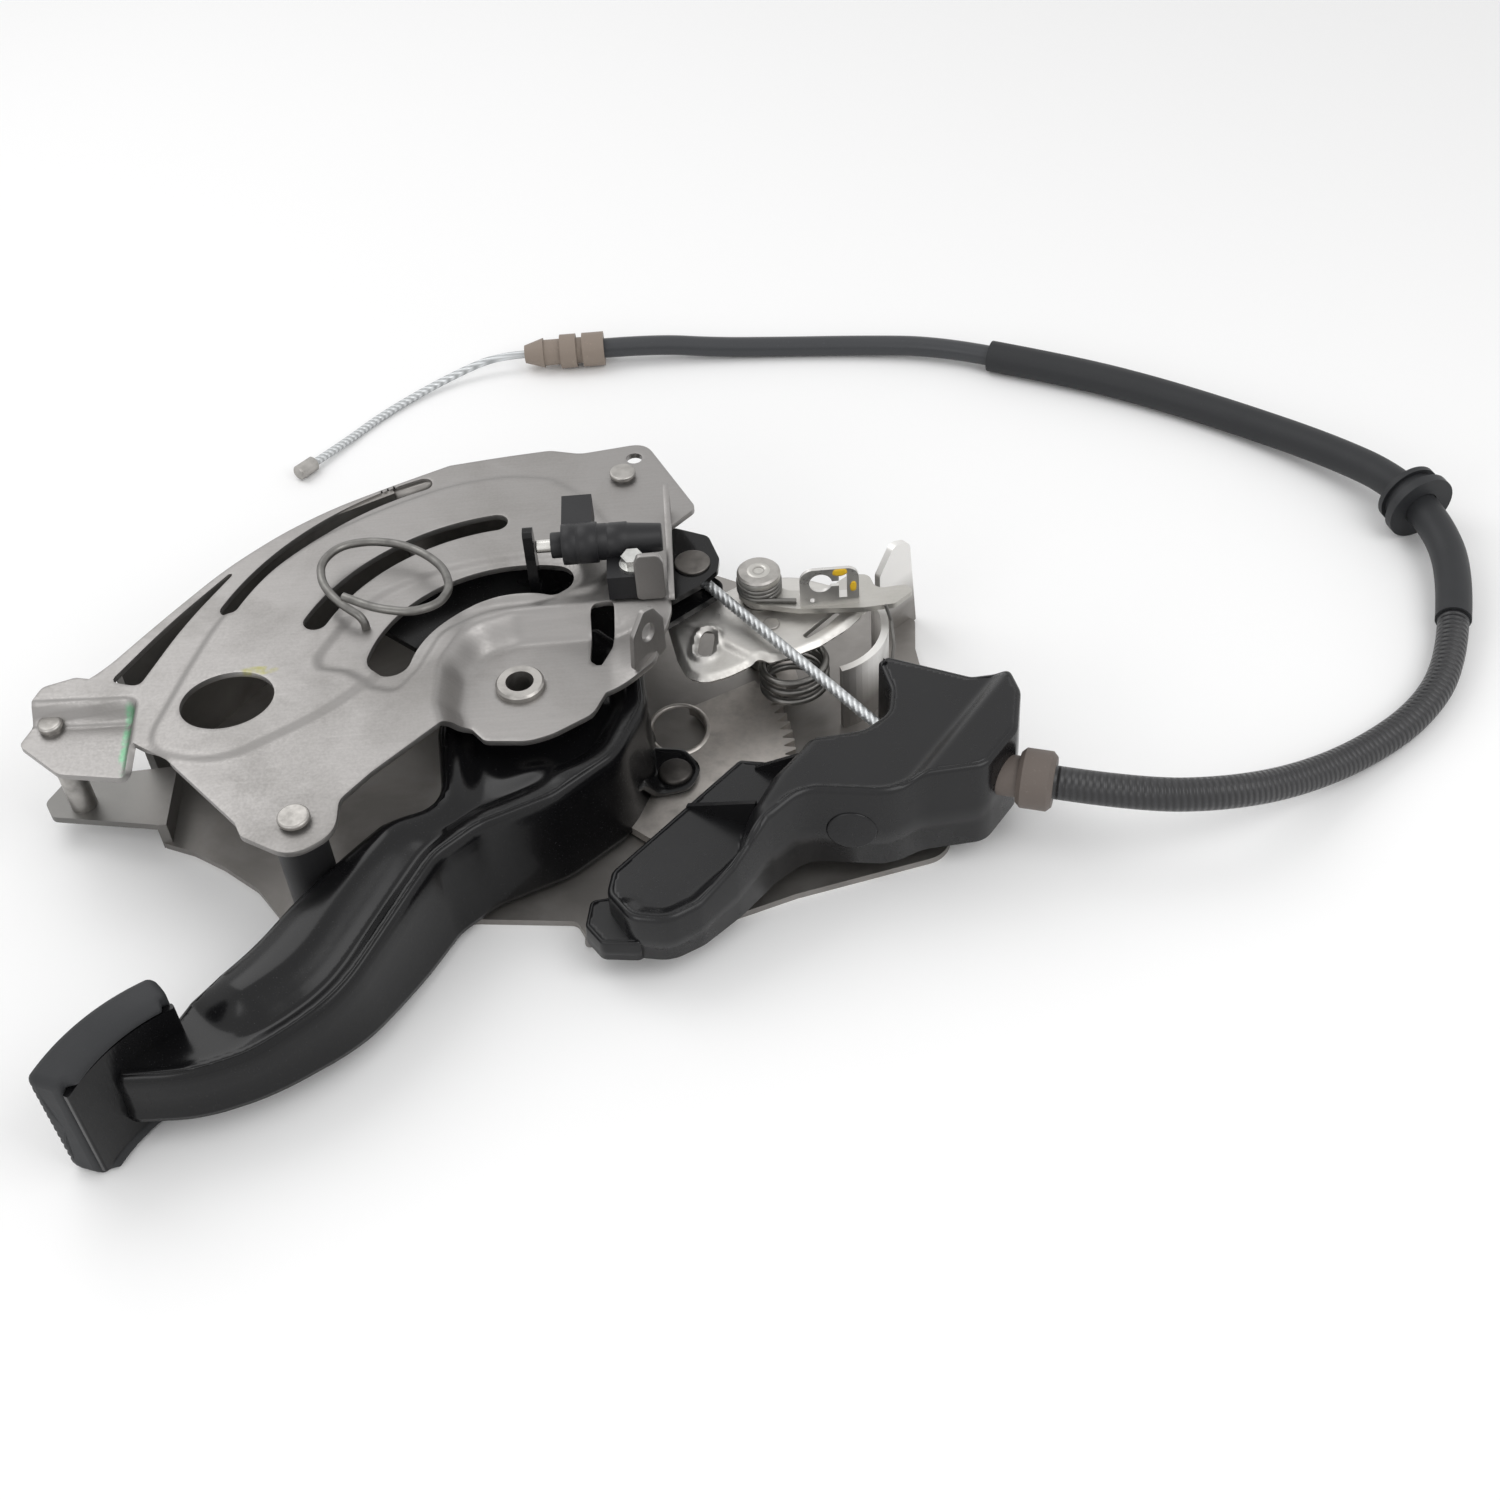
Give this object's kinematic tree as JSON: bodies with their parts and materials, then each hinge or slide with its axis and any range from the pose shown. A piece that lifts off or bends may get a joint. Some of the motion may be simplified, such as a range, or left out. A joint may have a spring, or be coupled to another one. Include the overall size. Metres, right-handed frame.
{
  "type": "foot parking brake pedal with cable",
  "caption": "Foot parking brake control: pedal arm with ribbed pad between two slotted plates, toothed sector and pawl, release lever, lamp switch, cover and long cable.",
  "frame": {"origin": "on the pedal's pivot axis, at the lower plate's underside", "axes": "+Z along the pivot axis from the lower plate to the upper plate; the cable leaves towards +X; the pad lies towards -X and -Y"},
  "size_m": [0.6, 0.4716, 0.0911],
  "materials": {
    "zinc_plate": "zinc plated sheet",
    "olive_plate": "olive zinc plate",
    "clip_plate": "bright plated",
    "turned_steel": "plated",
    "dark_steel": "hardened",
    "spring_steel": "drawn",
    "bright_wire": "stranded",
    "black_paint": "semi gloss black",
    "cover_plastic": "moulded black",
    "switch_plastic": "moulded black",
    "plunger_plastic": "natural",
    "black_fitting": "moulded black",
    "conduit_plastic": "extruded black",
    "sleeve_rubber": "matt black",
    "bumper_rubber": "matt black",
    "pad_rubber": "ribbed"
  },
  "bodies": {
    "bracket": {"upper_plate": "zinc_plate", "lower_plate": "zinc_plate", "pivot_tube": "turned_steel", "standoff_pin": "turned_steel", "front_bumper": "bumper_rubber", "bumper_rivet": "turned_steel", "rear_post": "turned_steel", "pigtail_wire": "spring_steel", "pawl_pin": "turned_steel", "control_plate": "olive_plate", "control_rivet": "turned_steel", "hook_spring": "spring_steel", "switch_body": "switch_plastic", "switch_screw": "turned_steel", "plastic_cover": "cover_plastic", "near_fitting": "black_fitting", "inner_wire": "bright_wire", "ribbed_conduit": "conduit_plastic", "cable_sleeve": "sleeve_rubber", "grommet": "sleeve_rubber", "thin_conduit": "conduit_plastic", "far_fitting": "black_fitting", "bare_wire": "bright_wire", "end_slug": "turned_steel"},
    "pedal": {"pedal_arm": "black_paint", "anchor_web": "black_paint", "switch_finger": "black_paint", "hub_sleeve": "turned_steel", "pad_plate": "black_paint", "pedal_pad": "pad_rubber", "toothed_sector": "dark_steel", "sector_rivet": "turned_steel", "anchor_keeper": "black_paint", "keeper_spacer": "turned_steel", "anchor_pin": "turned_steel", "wire_eye": "turned_steel"},
    "pawl_lever": {"pawl": "dark_steel", "pawl_sleeve": "turned_steel", "release_lever": "olive_plate", "cable_clip": "clip_plate", "torsion_spring": "spring_steel"},
    "plunger": {"switch_plunger": "plunger_plastic"}
  },
  "joints": [
    {"name": "pedal_pivot", "type": "hinge", "parent": "bracket", "child": "pedal", "pos_m": [0, 0, 0.03], "axis": [0, 0, 1], "range_deg": [0, 30], "stiffness_Nm_per_rad": 2, "springref_deg": -17.19},
    {"name": "release_pivot", "type": "hinge", "parent": "bracket", "child": "pawl_lever", "pos_m": [0.0955, 0.0605, 0.03], "axis": [0, 0, 1], "range_deg": [0, 10], "stiffness_Nm_per_rad": 0.4, "springref_deg": -11.46},
    {"name": "switch_plunger_slide", "type": "slide", "parent": "bracket", "child": "plunger", "axis": [1, 0, 0], "range_m": [0, 0.003], "stiffness_N_per_m": 500, "springref_m": -0.002}
  ]
}
